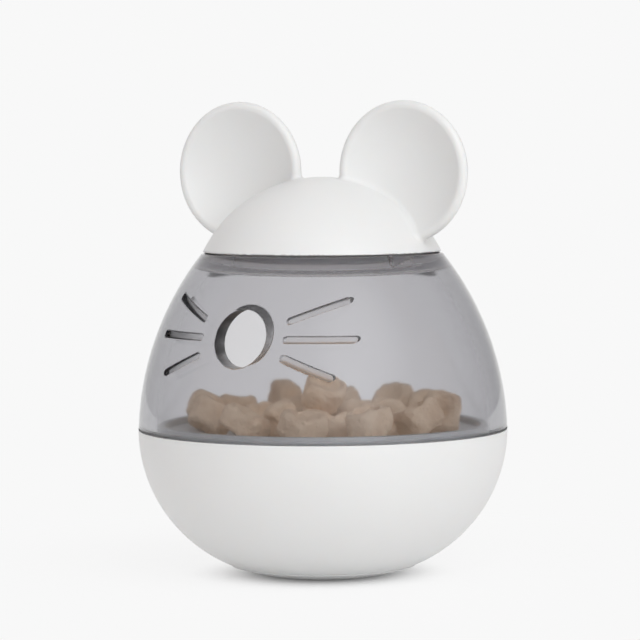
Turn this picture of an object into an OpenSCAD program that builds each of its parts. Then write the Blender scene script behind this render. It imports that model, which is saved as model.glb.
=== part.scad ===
// Roly-poly mouse that drops treats from its nose as a cat pushes it about.
// Origin under the middle of the foot, +Z up, face towards -Y, ears along X.

/* [Body] */
// Widest diameter, at the seam between base and dome
body_d = 89; // [84:0.5:96]
// Height of the seam between base and dome, also the radius of the bowl's round side
seam_z = 35.3; // [34:0.1:37]
// Height of the dome's top edge
rim_z = 77.6; // [76:0.1:80]
// Outside diameter of the dome at its top edge
rim_d = 58; // [55.6:0.2:60]
// Radius of the dome's curved side
side_r = 72; // [68:0.5:78]

/* [Base] */
// Wall of the bowl
base_wall = 2.6; // [2:0.1:3.4]
// Height of the ring that stands up inside the dome
spigot_h = 2.4; // [1.6:0.1:3]
// Thickness of that ring
spigot_t = 2; // [1.6:0.1:2.4]
// Width of the ledge that carries the floor
ledge_w = 2.4; // [1.8:0.1:3]
// Thickness of the ledge
ledge_t = 1.6; // [1.2:0.1:2.4]
// Radius of the bead that snaps into the dome
bead_r = 0.5; // [0.4:0.05:0.6]
// How far the bead stands out of the ring
bead_out = 0.35; // [0.25:0.05:0.4]

/* [Floor] */
// Thickness of the floor
floor_t = 1.8; // [1.4:0.1:2.4]
// Depth of the floor's dish
dish_h = 5; // [3:0.5:7]
// Width of the flat border round the dish
border_w = 3.6; // [3:0.2:5]

/* [Counterweight] */
// Diameter of the steel disc
weight_d = 48; // [42:0.5:50]
// Thickness of the steel disc
weight_t = 7.5; // [5:0.5:10]
// Height of the seat under the disc
weight_z = 7.5; // [7:0.1:9]
// Radius of the circle that the screws stand on
screw_circle_r = 15; // [13:0.5:17]
// Number of screws
screw_n = 3; // [3:1:5]
// Diameter of a screw's shank
screw_d = 3; // [2.5:0.1:3.5]
// Length of a screw under its head
screw_len = 9; // [8:0.5:9.5]
// Diameter of a screw's head
head_d = 5.6; // [5:0.1:6.5]
// Height of a screw's head
head_h = 2.2; // [1.8:0.1:2.4]
// How far a screw's head lies below the top of the disc
head_sink = 0.4; // [0.2:0.1:0.8]
// Diameter of a screw post
post_d = 8; // [7:0.5:9]
// Thickness of the round rib under the disc's edge
rib_t = 1.6; // [1.2:0.1:2.4]

/* [Dome] */
// Wall of the dome
dome_wall = 4.3; // [3:0.1:4.8]
// Diameter of the nose hole
nose_d = 13.3; // [11:0.1:17]
// Height of the nose hole's centre
nose_z = 59.1; // [57:0.1:62]
// Width of a whisker groove
whisker_w = 1.5; // [1.2:0.1:2.6]
// Depth of a whisker groove below the skin
whisker_depth = 1.4; // [1:0.1:2.6]
// Distance from the middle of the face to the near end of the whiskers
whisker_x = 11.4; // [9.6:0.1:13]
// Length of the middle whisker
whisker_mid_len = 13.6; // [10:0.1:16]
// Length of the upper and lower whiskers
whisker_side_len = 11.3; // [9:0.1:14]
// Height of the upper and lower whiskers' near ends above and below the middle one
whisker_rise = 4.2; // [3.2:0.1:5]
// Slope of the upper and lower whiskers
whisker_angle = 23; // [15:1:30]

/* [Cap] */
// Height of the crown between the ears above the cap's rim
crown_h = 17.9; // [14:0.1:20]
// Wall of the cap
cap_wall = 2.6; // [2:0.1:3.2]
// Thickness of the flange between the cap's wall and its skirt
flange_t = 2.2; // [1.6:0.1:3]
// Distance from the dome's outside in to the skirt, at the dome's top edge
rim_w = 5.5; // [5.2:0.1:6.6]
// Thickness of the skirt
skirt_t = 1.8; // [1.4:0.1:2.4]
// How far the skirt reaches into the dome
skirt_h = 3.6; // [3.5:0.1:4]
// Thickness of the soft ring under the cap's rim
seal_t = 0.6; // [0.4:0.1:1]
// Width of the soft ring, out from the skirt
seal_w = 3; // [2:0.1:4]

/* [Ears] */
// Diameter of an ear
ear_d = 34; // [30:0.2:38]
// Distance from the middle of the head to the middle of an ear
ear_x = 22.4; // [20:0.1:24]
// How far the middle of an ear lies behind the middle of the head
ear_y = 2.6; // [0:0.2:4]
// Height of an ear's lowest point above the cap's rim
ear_low = 2.1; // [0.4:0.1:3]
// Radius of an ear's rounded lip
lip_r = 1.3; // [1:0.1:3]
// Distance from the front of the lip to the back of an ear
ear_depth = 9; // [8:0.2:11]
// Depth of an ear's dish below its lip
ear_dish = 5.2; // [4:0.2:6]

/* [Twist lock] */
// Number of pins on the skirt
pin_n = 3; // [2:1:4]
// Diameter of a pin
pin_d = 2.4; // [2:0.1:2.6]
// How far a pin reaches into its track
pin_reach = 1.2; // [0.9:0.1:1.5]
// Depth of a pin's centre below the dome's top edge
pin_drop = 2.2; // [2:0.1:2.3]
// Direction of the first pin, seen from above, from +X towards +Y
pin_angle = 340; // [0:5:355]
// Rise of the cap in one full turn
lead = 48; // [36:1:60]
// Height of the thick collar that the tracks are cut into
collar_h = 4.9; // [4.6:0.1:6]

/* [Treats] */
// Width of a biscuit
treat_w = 10.2; // [8:0.2:11]
// Thickness of a biscuit
treat_t = 7.2; // [6:0.2:8.4]
// Radius of the ball that rounds a biscuit's corners
treat_round = 6.1; // [5.8:0.1:6.4]

/* [Clearances] */
// Gap on each side of a moving piece
play = 0.35; // [0.3:0.05:0.5]
// Gap of pieces that are pressed or screwed together
press_gap = 0.05; // [0.02:0.01:0.1]

/* [Hidden] */
$fn = 96;

far = 200;
body_r = body_d / 2;
rim_r = rim_d / 2;
foot_r = body_r - seam_z;

// Centre of the dome's curved side, across the axis from the chord between seam and rim
chord = [rim_r - body_r, rim_z - seam_z];
chord_mid = [(rim_r + body_r) / 2, (rim_z + seam_z) / 2];
side_c = chord_mid + sqrt(pow(side_r / norm(chord), 2) - 0.25) * [-chord[1], chord[0]];

// Radius of the dome's side at height z, moved in by t
function side_x(z, t = 0) = side_c[0] + sqrt(pow(side_r - t, 2) - pow(z - side_c[1], 2));

// Base, dome and floor
spigot_out = side_x(seam_z, dome_wall) - press_gap;
spigot_in = spigot_out - spigot_t;
bead_z = seam_z + spigot_h / 2;
bead_x = spigot_out + bead_out - bead_r;
ledge_z = seam_z - floor_t;
ledge_in = spigot_in - ledge_w;
floor_r = spigot_in - press_gap;
dish_edge_r = floor_r - border_w;
dish_r = (pow(dish_edge_r, 2) + pow(dish_h, 2)) / (2 * dish_h);
dish_cz = seam_z - dish_h + dish_r;
head_z = weight_z + weight_t - head_sink - head_h;

// Mouth, skirt, pins and tracks
skirt_r = rim_r - rim_w;
skirt_z = rim_z - skirt_h;
mouth_r = skirt_r + play;
pin_end = mouth_r + pin_reach;
track_r = pin_end + play;
pin_z = rim_z - pin_drop;
seal_z = rim_z + press_gap;
seat_z = seal_z + seal_t + press_gap;
cap_z = rim_z + play;
cap_rim_r = side_x(cap_z);
crown_z = cap_z + crown_h;
cap_r = (pow(cap_rim_r, 2) + pow(crown_h, 2)) / (2 * crown_h);
track_slope = atan(lead / (2 * PI * mouth_r));
track_half_h = (pin_d / 2 + play) / cos(track_slope);
track_start = -(pin_d / 2 + play) / mouth_r * 180 / PI;
track_end = 360 * (pin_drop + 2 * track_half_h) / lead;

// Ear: its middle's height, its lip's centre, and the balls of its back and its dish that run into the lip
ear_z = cap_z + ear_low + ear_d / 2;
lip_x = ear_d / 2 - lip_r;
lip_y = lip_r - ear_depth / 2;
back_y = ear_depth / 2;
dish_y = ear_dish - ear_depth / 2;
back_r = (pow(lip_x, 2) + pow(lip_y - back_y, 2) - pow(lip_r, 2)) / (2 * (back_y - lip_y - lip_r));
ear_dish_r = (pow(lip_x, 2) + pow(lip_y - dish_y, 2) - pow(lip_r, 2)) / (2 * (dish_y - lip_y + lip_r));

// Half section of the dome's solid form from seam to rim, moved in by t
module dome_form(t = 0) {
    intersection() {
        translate(side_c) circle(r = side_r - t);
        translate([0, seam_z]) square([far, rim_z - seam_z]);
    }
}

// Half section of the cap's round form above height z, moved in by t
module cap_form(z, t = 0) {
    intersection() {
        translate([0, crown_z - cap_r]) circle(r = cap_r - t);
        translate([0, z]) square(far);
    }
}

// Half section of the bowl below the seam, moved in by t
module bowl(t = 0) {
    intersection() {
        union() {
            translate([foot_r, seam_z]) circle(r = seam_z - t);
            translate([0, t]) square([foot_r, seam_z]);
        }
        square([far, seam_z]);
    }
}

// Copies its children on the screw circle
module at_screws() {
    for (i = [0:screw_n - 1]) {
        rotate(360 * i / screw_n) translate([screw_circle_r, 0, 0]) children();
    }
}

// Copies its children once for each pin of the twist lock
module at_pins() {
    for (i = [0:pin_n - 1]) {
        rotate(pin_angle + 360 * i / pin_n) children();
    }
}

// Bowl with the ledge, the ring that snaps into the dome, and the weight's posts and rib
module base_shell() {
    color("white") difference() {
        union() {
            rotate_extrude() {
                difference() {
                    bowl();
                    bowl(base_wall);
                }
                intersection() {
                    bowl();
                    polygon([
                        [spigot_in, seam_z],
                        [far, seam_z],
                        [far, ledge_z - ledge_t - far + ledge_in],
                        [ledge_in, ledge_z - ledge_t],
                        [ledge_in, ledge_z],
                        [spigot_in, ledge_z]
                    ]);
                }
                translate([spigot_in, ledge_z]) square([spigot_t, spigot_h + floor_t]);
                translate([bead_x, bead_z]) circle(r = bead_r);
                intersection() {
                    bowl(base_wall / 2);
                    translate([weight_d / 2 - 2 * rib_t, 0]) square([rib_t, weight_z]);
                }
            }
            intersection() {
                at_screws() cylinder(d = post_d, h = weight_z);
                rotate_extrude() bowl(base_wall / 2);
            }
        }
        at_screws() {
            translate([0, 0, head_z - screw_len - play]) cylinder(r = screw_d / 2 + press_gap, h = far);
        }
    }
}

// Steel disc with a sunk seat for each screw's head
module counterweight() {
    color("slategray") difference() {
        translate([0, 0, weight_z]) cylinder(d = weight_d, h = weight_t);
        at_screws() {
            cylinder(r = screw_d / 2 + press_gap, h = far);
            translate([0, 0, head_z]) cylinder(r = head_d / 2 + play, h = far);
        }
    }
}

// Screws that hold the disc down on its posts
module weight_screws() {
    color("silver") at_screws() {
        translate([0, 0, head_z - screw_len]) cylinder(d = screw_d, h = screw_len + head_h / 2);
        translate([0, 0, head_z]) cylinder(d = head_d, h = head_h);
    }
}

// Dished floor that drops into the ring of the base
module treat_floor() {
    color("whitesmoke") rotate_extrude() difference() {
        union() {
            translate([0, ledge_z]) square([floor_r, floor_t]);
            intersection() {
                translate([0, dish_cz]) circle(r = dish_r + floor_t);
                translate([0, seam_z - far]) square([dish_edge_r, far]);
            }
        }
        translate([0, dish_cz]) circle(r = dish_r);
    }
}

// One whisker groove from its near end, drawn flat on the face
module whisker(len) {
    circle(d = whisker_w);
    translate([0, -whisker_w / 2]) square([len, whisker_w]);
    translate([len, 0]) circle(d = whisker_w);
}

// The three whiskers on the face's +X side
module whisker_fan() {
    translate([whisker_x, 0]) {
        whisker(whisker_mid_len);
        translate([0, whisker_rise]) rotate(whisker_angle) whisker(whisker_side_len);
        translate([0, -whisker_rise]) rotate(-whisker_angle) whisker(whisker_side_len);
    }
}

// Stands a flat drawing upright on the face, with its origin at the nose
module on_face() {
    translate([0, 0, nose_z]) rotate([90, 0, 0]) linear_extrude(far) children();
}

// Sloping channel for a pin, from its locked end up and out of the dome's top edge
module pin_track() {
    steps = 12;
    inner_r = mouth_r - 2 * play;
    corners = [[inner_r, -1], [track_r, -1], [track_r, 1], [inner_r, 1]];
    points = [
        for (i = [0:steps], c = corners)
            let (a = track_start + (track_end - track_start) * i / steps)
            [c[0] * cos(a), c[0] * sin(a), pin_z + lead * a / 360 + c[1] * track_half_h]
    ];
    sides = [
        for (i = [0:steps - 1], k = [0:3])
            let (p = 4 * i + k, q = 4 * i + (k + 1) % 4)
            each [[p, p + 4, q], [q, p + 4, q + 4]]
    ];
    last = 4 * steps;
    ends = [[0, 1, 2], [0, 2, 3], [last, last + 2, last + 1], [last, last + 3, last + 2]];
    polyhedron(points, concat(sides, ends));
}

// Smoky see-through middle with the mouth, the nose hole and the whisker grooves
module dome() {
    color([0.55, 0.55, 0.58, 0.6]) difference() {
        rotate_extrude() difference() {
            union() {
                difference() {
                    dome_form();
                    dome_form(dome_wall);
                }
                intersection() {
                    dome_form();
                    polygon([
                        [mouth_r, rim_z],
                        [mouth_r, rim_z - collar_h],
                        [far, rim_z - collar_h - far + mouth_r],
                        [far, rim_z]
                    ]);
                }
            }
            translate([0, seam_z]) square([spigot_out + press_gap, spigot_h + play]);
            translate([bead_x, bead_z]) circle(r = bead_r + press_gap);
            translate([0, rim_z - collar_h]) square([mouth_r, far]);
        }
        at_pins() pin_track();
        translate([0, 0, nose_z]) rotate([90, 0, 0]) cylinder(d = nose_d, h = far);
        intersection() {
            rotate_extrude() difference() {
                dome_form(-whisker_depth);
                dome_form(whisker_depth);
            }
            union() {
                on_face() whisker_fan();
                mirror([1, 0, 0]) on_face() whisker_fan();
            }
        }
    }
}

// A biscuit lying on its flat side, with its corners rounded by a ball
module treat() {
    translate([0, 0, treat_t / 2]) intersection() {
        cube([treat_w, treat_w, treat_t], center = true);
        sphere(r = treat_round);
    }
}

// A ring of biscuits at height z, each spun further than the one before and leaning inwards
module treat_ring(n, r, z, first, lean = 0) {
    spin = 47;
    for (i = [0:n - 1]) {
        rotate(first + 360 * i / n) translate([r, 0, z]) rotate([0, -lean, 0]) rotate(spin * i) treat();
    }
}

// Loose biscuits: one in the middle of the dish, two rings round it, and one that leans on the middle one
module treats() {
    step = 2 * treat_round;
    inner_r = 1.3 * step;
    outer_r = 2.4 * step;
    low_z = seam_z - dish_h + play;
    inner_z = low_z + pow(inner_r, 2) / (2 * dish_r) + play;
    outer_z = low_z + pow(outer_r, 2) / (2 * dish_r) + play;
    top_lean = 18;
    top_z = low_z + treat_t + treat_w / 2 * sin(top_lean) + play;
    color("tan") {
        treat_ring(1, 0, low_z, 0);
        treat_ring(6, inner_r, inner_z, 21, asin(inner_r / dish_r));
        treat_ring(12, outer_r, outer_z, 20, asin(outer_r / dish_r));
        treat_ring(1, step / 4, top_z, 109, top_lean);
    }
}

// Soft ring between the dome's top edge and the cap
module cap_seal() {
    color("dimgray") translate([0, 0, seal_z]) difference() {
        cylinder(r = skirt_r + seal_w, h = seal_t);
        translate([0, 0, -1]) cylinder(r = skirt_r + press_gap, h = far);
    }
}

// Points along an arc about c
function arc(c, r, from, to, n) =
    [for (i = [0:n]) let (a = from + (to - from) * i / n) c + r * [cos(a), sin(a)]];

// Direction from one point to another
function heading(from, to) = atan2(to[1] - from[1], to[0] - from[0]);

// An ear facing -Y: a lipped dish with a rounded back, turned about its own axis
module ear() {
    lip_c = [lip_x, lip_y];
    back_c = [0, back_y - back_r];
    front_c = [0, dish_y - ear_dish_r];
    rotate([-90, 0, 0]) rotate_extrude() polygon(concat(
        arc(back_c, back_r, 90, heading(back_c, lip_c), 8),
        arc(lip_c, lip_r, heading(back_c, lip_c), heading(lip_c, front_c), 16),
        arc(front_c, ear_dish_r, heading(front_c, lip_c), 90, 10)
    ));
}

// White top of the head with both ears, the skirt and its pins
module cap() {
    color("white") difference() {
        union() {
            rotate_extrude() {
                cap_form(cap_z);
                translate([0, skirt_z]) square([skirt_r, cap_z - skirt_z]);
            }
            for (side = [-1, 1]) {
                translate([side * ear_x, ear_y, ear_z]) ear();
            }
            at_pins() translate([0, 0, pin_z]) rotate([0, 90, 0]) cylinder(d = pin_d, h = pin_end);
        }
        rotate_extrude() {
            cap_form(cap_z + flange_t, cap_wall);
            translate([0, skirt_z - play]) square([skirt_r - skirt_t, cap_z + flange_t - skirt_z + 2 * play]);
            translate([skirt_r, rim_z]) square([seal_w + play, seat_z - rim_z]);
        }
    }
}

base_shell();
counterweight();
weight_screws();
treat_floor();
dome();
treats();
cap_seal();
cap();
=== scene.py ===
"""Dresses a roly-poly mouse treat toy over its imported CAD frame.

Lengths are in metres in the CAD frame: +Z up, the mouse's face towards -Y, the toy standing on z = 0.
"""

import math

import bmesh
import bpy
import numpy as np
from bpy.props import FloatProperty, FloatVectorProperty, IntProperty, PointerProperty
from mathutils import Matrix, Vector


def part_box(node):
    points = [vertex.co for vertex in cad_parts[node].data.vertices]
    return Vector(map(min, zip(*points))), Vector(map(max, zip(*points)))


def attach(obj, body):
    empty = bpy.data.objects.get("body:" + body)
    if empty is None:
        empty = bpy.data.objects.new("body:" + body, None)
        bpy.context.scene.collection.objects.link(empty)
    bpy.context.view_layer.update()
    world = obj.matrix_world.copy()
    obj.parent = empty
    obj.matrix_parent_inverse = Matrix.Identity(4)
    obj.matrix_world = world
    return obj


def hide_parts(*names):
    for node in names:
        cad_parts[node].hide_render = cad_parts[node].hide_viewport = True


bl_info = {
    "name": "Mouse treat toy",
    "version": (1, 0, 0),
    "blender": (4, 5, 0),
    "location": "View3D > Sidebar > Mouse toy",
    "description": "Makes the pieces, finishes and stage of a roly-poly mouse treat toy",
    "category": "Object",
}

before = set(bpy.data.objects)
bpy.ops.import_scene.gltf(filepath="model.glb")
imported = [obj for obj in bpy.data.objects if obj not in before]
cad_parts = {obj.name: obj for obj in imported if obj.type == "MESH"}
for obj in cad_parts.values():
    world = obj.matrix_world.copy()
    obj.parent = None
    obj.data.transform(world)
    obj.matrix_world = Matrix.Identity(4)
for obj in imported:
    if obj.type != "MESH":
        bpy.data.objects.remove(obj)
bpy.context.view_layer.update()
DOME_LOW, DOME_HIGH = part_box("dome")
WEIGHT_LOW, WEIGHT_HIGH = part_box("counterweight")
SHARP_ANGLE = math.radians(32)
SAME_SPOT = 1e-7
MATT_CUT = "matt_cut"
SOCKET_KINDS = {int: "NodeSocketInt", float: "NodeSocketFloat", type(None): "NodeSocketMaterial"}


def length(name, default, description):
    """A size in metres that a user can change."""
    return FloatProperty(
        name=name, description=description, default=default, min=0.0, precision=5, unit="LENGTH"
    )


def turn(name, degrees, description):
    """An angle that a user can change."""
    return FloatProperty(name=name, description=description, default=math.radians(degrees), unit="ROTATION")


def share(name, default, description):
    """A plain number that a user can change."""
    return FloatProperty(name=name, description=description, default=default)


def count(name, default, description):
    """How many of something a user wants."""
    return IntProperty(name=name, description=description, default=default, min=1)


def colour(name, default, description):
    """A colour that a user can change, in linear values."""
    return FloatVectorProperty(
        name=name, description=description, default=default, size=3, min=0.0, max=1.0, subtype="COLOR"
    )


class BodySizes(bpy.types.PropertyGroup):
    """Outline of the toy and the clearances between its pieces."""

    body_d: length("Body diameter", DOME_HIGH.x - DOME_LOW.x, "Widest diameter, at the seam")
    seam_z: length("Seam height", DOME_LOW.z, "Height where the base meets the dome")
    rim_z: length("Rim height", DOME_HIGH.z, "Height of the dome's top edge")
    rim_d: length("Rim diameter", 0.058, "Diameter of the dome's top edge")
    side_r: length("Side radius", 0.072, "Radius of the dome's curved side, seen from the side")
    play: length("Running gap", 0.00035, "Gap between pieces that move against each other")
    press_gap: length("Press gap", 0.00005, "Gap between pieces that are pressed together")


class BaseSizes(bpy.types.PropertyGroup):
    """White bowl of the toy and the dished floor in it."""

    wall: length("Wall", 0.0026, "Thickness of the bowl's wall")
    edge_r: length("Edge radius", 0.0001, "Rounding of the bowl's edge at the seam")
    spigot_h: length("Ring height", 0.0015, "Height of the ring that shows inside the dome")
    spigot_t: length("Ring wall", 0.002, "Thickness of that ring")
    ledge_w: length("Ledge width", 0.0024, "Width of the ledge under the floor")
    ledge_t: length("Ledge thickness", 0.0016, "Thickness of the ledge's edge")
    floor_t: length("Floor thickness", 0.0018, "Thickness of the dished floor")
    dish_h: length("Dish depth", 0.005, "Depth of the floor's dish")
    border_w: length("Border width", 0.0036, "Flat border round the dish")


class WeightSizes(bpy.types.PropertyGroup):
    """Steel disc that keeps the toy upright, and its screws and posts."""

    disc_d: length("Disc diameter", WEIGHT_HIGH.x - WEIGHT_LOW.x, "Diameter of the steel disc")
    disc_z: length("Disc height", WEIGHT_LOW.z, "Height of the disc's underside")
    disc_t: length("Disc thickness", WEIGHT_HIGH.z - WEIGHT_LOW.z, "Thickness of the steel disc")
    circle_r: length("Screw circle", 0.015, "Radius of the circle that the screws stand on")
    screw_n: count("Screws", 3, "Number of screws")
    screw_d: length("Screw diameter", 0.003, "Diameter over the thread")
    screw_len: length("Screw length", 0.009, "Length below the head")
    head_d: length("Head diameter", 0.0056, "Diameter of a screw's head")
    head_h: length("Head height", 0.0022, "Height of a screw's head")
    head_sink: length("Head sink", 0.0004, "How far the head lies below the disc's top")
    thread_pitch: length("Thread pitch", 0.0009, "Rise of the thread in one turn")
    post_d: length("Post diameter", 0.008, "Diameter of the posts under the disc")
    rib_t: length("Rib thickness", 0.0016, "Thickness of the rib under the disc")


class DomeSizes(bpy.types.PropertyGroup):
    """Smoky dome with the nose hole and the whiskers."""

    wall: length("Wall", 0.0043, "Thickness of the dome's wall")
    edge_r: length("Edge radius", 0.00014, "Rounding of the dome's outer edges")
    collar_h: length("Collar height", 0.0049, "Height of the thick collar round the mouth")
    nose_d: length("Nose diameter", 0.0133, "Diameter of the nose hole")
    nose_z: length("Nose height", 0.0591, "Height of the nose hole's middle")
    nose_edge_r: length("Nose edge radius", 0.00018, "Rounding of the nose hole's edges")
    whisker_w: length("Whisker width", 0.0015, "Width of a whisker's groove")
    whisker_depth: length("Whisker depth", 0.0014, "Depth of a whisker's groove below the surface")
    whisker_x: length("Whisker start", 0.0114, "Distance of a whisker's near end from the nose's middle")
    whisker_mid_len: length("Middle whisker", 0.0136, "Length of the level whisker between its end centres")
    whisker_side_len: length("Slanted whisker", 0.0113, "Length of a slanted whisker")
    whisker_rise: length("Whisker spacing", 0.0042, "Height between the near ends of two whiskers")
    whisker_angle: turn("Whisker angle", 23, "Slant of the upper and lower whiskers")


class CapSizes(bpy.types.PropertyGroup):
    """White cap with the ears, and the seal under it."""

    crown_h: length("Crown height", 0.0179, "Height of the crown above the cap's lower edge")
    wall: length("Wall", 0.0026, "Thickness of the cap's wall")
    edge_r: length("Edge radius", 0.00014, "Rounding of the cap's lower edge")
    flange_t: length("Flange thickness", 0.0022, "Thickness of the flange that sits on the seal")
    rim_w: length("Flange width", 0.0055, "From the rim's outside in to the skirt")
    skirt_t: length("Skirt wall", 0.0018, "Thickness of the skirt")
    skirt_h: length("Skirt height", 0.0036, "How far the skirt reaches into the mouth")
    seal_t: length("Seal thickness", 0.0006, "Thickness of the soft ring")
    seal_w: length("Seal width", 0.003, "Width of the soft ring, out from the skirt")
    ear_d: length("Ear diameter", 0.034, "Diameter of an ear")
    ear_x: length("Ear distance", 0.0224, "From the toy's axis to the middle of an ear")
    ear_y: length("Ear set-back", 0.0026, "How far the ears stand behind the axis")
    ear_low: length("Ear bottom", 0.0021, "Height of an ear's lowest point above the cap's lower edge")
    lip_r: length("Lip radius", 0.0013, "Radius of an ear's rolled lip")
    ear_depth: length("Ear depth", 0.009, "Thickness of an ear from front to back")
    ear_dish: length("Ear dish", 0.0052, "Depth of an ear's dish")
    root_r: length("Ear root radius", 0.0012, "Fillet where an ear meets the crown")


class LockSizes(bpy.types.PropertyGroup):
    """Twist lock between the cap's skirt and the dome's mouth."""

    pin_n: count("Pins", 3, "Number of pins")
    pin_d: length("Pin diameter", 0.0024, "Diameter of a pin")
    pin_reach: length("Pin reach", 0.0012, "How far a pin reaches past the mouth's wall")
    pin_drop: length("Pin drop", 0.0022, "How far below the rim the pins sit")
    pin_angle: turn("First pin", 340, "Angle of the first pin about the axis")
    lead: length("Track lead", 0.048, "Rise of a track in one turn")


class TreatSizes(bpy.types.PropertyGroup):
    """Biscuits lying in the dished floor."""

    width: length("Width", 0.0102, "Width of a biscuit")
    thick: length("Thickness", 0.0072, "Thickness of a biscuit")
    round_r: length("Rounding", 0.0061, "Radius of the ball that rounds a biscuit's corners")
    hollow: share("Hollow", 0.42, "How far a biscuit's faces sink in, as a share of half its thickness")
    tip: turn("Tip", 22, "How far a biscuit may tip out of the dish's lie")
    lump: length("Lumps", 0.0013, "Depth of the dents and lumps of a biscuit")
    crumb: length("Crumb", 0.00022, "Depth of the crumb on its surface")
    lean: turn("Top lean", 18, "Lean of the biscuit on top")
    clear: length("Clearance", 0.0001, "Height added under the biscuits, above the running gap")
    seed: count("Seed", 5, "Picks another set of lumps, sizes and tilts")


class Finishes(bpy.types.PropertyGroup):
    """Colours of the toy."""

    white: colour("White plastic", (0.80, 0.80, 0.795), "Base, cap and floor")
    tint: colour("Dome tint", (0.985, 0.98, 0.99), "Tint of light that passes the dome's faces")
    smoke: colour("Smoke", (0.30, 0.30, 0.33), "Tint of the smoke in the dome's plastic")
    smoke_depth: share("Smoke depth", 98.0, "How dark the smoke is, per metre")
    biscuit: colour("Biscuit", (0.97, 0.77, 0.585), "Baked colour of the biscuits")
    crust: colour("Crust", (0.87, 0.65, 0.475), "Darker crust of the biscuits")
    rubber: colour("Seal", (0.45, 0.44, 0.44), "Soft ring under the cap")
    steel: colour("Steel", (0.55, 0.55, 0.56), "Turned steel of the disc")
    screw: colour("Screw steel", (0.62, 0.60, 0.55), "Plated steel of the screws")


class StageSizes(bpy.types.PropertyGroup):
    """Camera, lamps and floor."""

    azimuth: turn("Azimuth", 29.1, "Camera's turn round the toy, from the face towards +X")
    elevation: turn("Elevation", 3.42, "Camera's angle above the level")
    distance: length("Distance", 0.7473, "Camera's distance from the point it looks at")
    aim_z: length("Aim height", 0.06137, "Height of the point that the camera looks at")
    aim_left: length("Aim offset", 0.00058, "How far left of the axis the camera looks")
    roll: turn("Roll", 0.3, "Camera's tilt to the side")
    focal: share("Focal length", 174.34, "Lens in millimetres on a 36 mm sensor")
    paper: share("Background", 0.939, "Brightness of the background")
    sky: share("Soft light", 0.65, "Brightness of the soft light from all round")
    key: share("Key lamp", 9.4, "Power of the large lamp at the upper right, in watts")
    sky_tone: colour("Soft light tone", (1.0, 0.972, 0.962), "Colour of the soft light")
    lamp_tone: colour("Lamp tone", (0.945, 0.985, 1.0), "Colour of the lamps")
    front: share("Front lamp", 1.4, "Power of the low lamp beside the camera, in watts")
    cards: share("Side cards", 0.85, "How dark the grey cards at both sides are in mirrored light")
    floor_tone: share("Floor tone", 0.98, "Paleness of the floor under the toy")


class MouseToy(bpy.types.PropertyGroup):
    """All sizes and colours of the toy."""

    body: PointerProperty(type=BodySizes)
    base: PointerProperty(type=BaseSizes)
    weight: PointerProperty(type=WeightSizes)
    dome: PointerProperty(type=DomeSizes)
    cap: PointerProperty(type=CapSizes)
    lock: PointerProperty(type=LockSizes)
    treats: PointerProperty(type=TreatSizes)
    finishes: PointerProperty(type=Finishes)
    stage: PointerProperty(type=StageSizes)


class Form:
    """Lengths that follow from the sizes, as the CAD source works them out."""

    def __init__(self, toy):
        body, base, dome, cap, lock = toy.body, toy.base, toy.dome, toy.cap, toy.lock
        self.toy = toy
        self.body_r = body.body_d / 2
        self.rim_r = body.rim_d / 2
        self.foot_r = self.body_r - body.seam_z
        chord = np.array([self.rim_r - self.body_r, body.rim_z - body.seam_z])
        middle = np.array([self.rim_r + self.body_r, body.rim_z + body.seam_z]) / 2
        reach = math.sqrt((body.side_r / np.linalg.norm(chord)) ** 2 - 0.25)
        self.side_c = middle + reach * np.array([-chord[1], chord[0]])
        self.spigot_out = self.side_x(body.seam_z, dome.wall) - body.press_gap
        self.spigot_in = self.spigot_out - base.spigot_t
        self.spigot_z = body.seam_z + base.spigot_h
        self.ledge_z = body.seam_z - base.floor_t
        self.ledge_in = self.spigot_in - base.ledge_w
        self.floor_r = self.spigot_in - body.press_gap
        self.dish_edge_r = self.floor_r - base.border_w
        self.dish_r = (self.dish_edge_r**2 + base.dish_h**2) / (2 * base.dish_h)
        self.dish_cz = body.seam_z - base.dish_h + self.dish_r
        self.skirt_r = self.rim_r - cap.rim_w
        self.skirt_z = body.rim_z - cap.skirt_h
        self.mouth_r = self.skirt_r + body.play
        self.pin_end = self.mouth_r + lock.pin_reach
        self.track_r = self.pin_end + body.play
        self.pin_z = body.rim_z - lock.pin_drop
        self.seal_z = body.rim_z + body.press_gap
        self.seat_z = self.seal_z + cap.seal_t + body.press_gap
        self.cap_z = body.rim_z + body.play
        self.cap_rim_r = self.side_x(self.cap_z)
        self.crown_z = self.cap_z + cap.crown_h
        self.cap_r = (self.cap_rim_r**2 + cap.crown_h**2) / (2 * cap.crown_h)
        self.track_slope = math.atan(lock.lead / (2 * math.pi * self.mouth_r))
        self.track_half = lock.pin_d / 2 + body.play
        self.track_from = -self.track_half / self.mouth_r
        rise = lock.pin_drop + 2 * self.track_half / math.cos(self.track_slope)
        self.track_to = 2 * math.pi * rise / lock.lead
        self.ear_z = self.cap_z + cap.ear_low + cap.ear_d / 2
        self.lip_c = np.array([cap.ear_d / 2 - cap.lip_r, cap.lip_r - cap.ear_depth / 2])
        lip_x, lip_y = self.lip_c
        back_y = cap.ear_depth / 2
        dish_y = cap.ear_dish - cap.ear_depth / 2
        low = lip_x**2 - cap.lip_r**2
        self.back_r = (low + (lip_y - back_y) ** 2) / (2 * (back_y - lip_y - cap.lip_r))
        self.ear_dish_r = (low + (lip_y - dish_y) ** 2) / (2 * (dish_y - lip_y + cap.lip_r))
        self.back_c = np.array([0.0, back_y - self.back_r])
        self.front_c = np.array([0.0, dish_y - self.ear_dish_r])

    def side_x(self, z, inset=0.0):
        """Radius of the dome's side at height z, moved in by inset."""
        return self.side_c[0] + np.sqrt((self.toy.body.side_r - inset) ** 2 - (z - self.side_c[1]) ** 2)


def form_of(context):
    """The toy's sizes together with what follows from them."""
    return Form(context.scene.mouse_toy)


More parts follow.
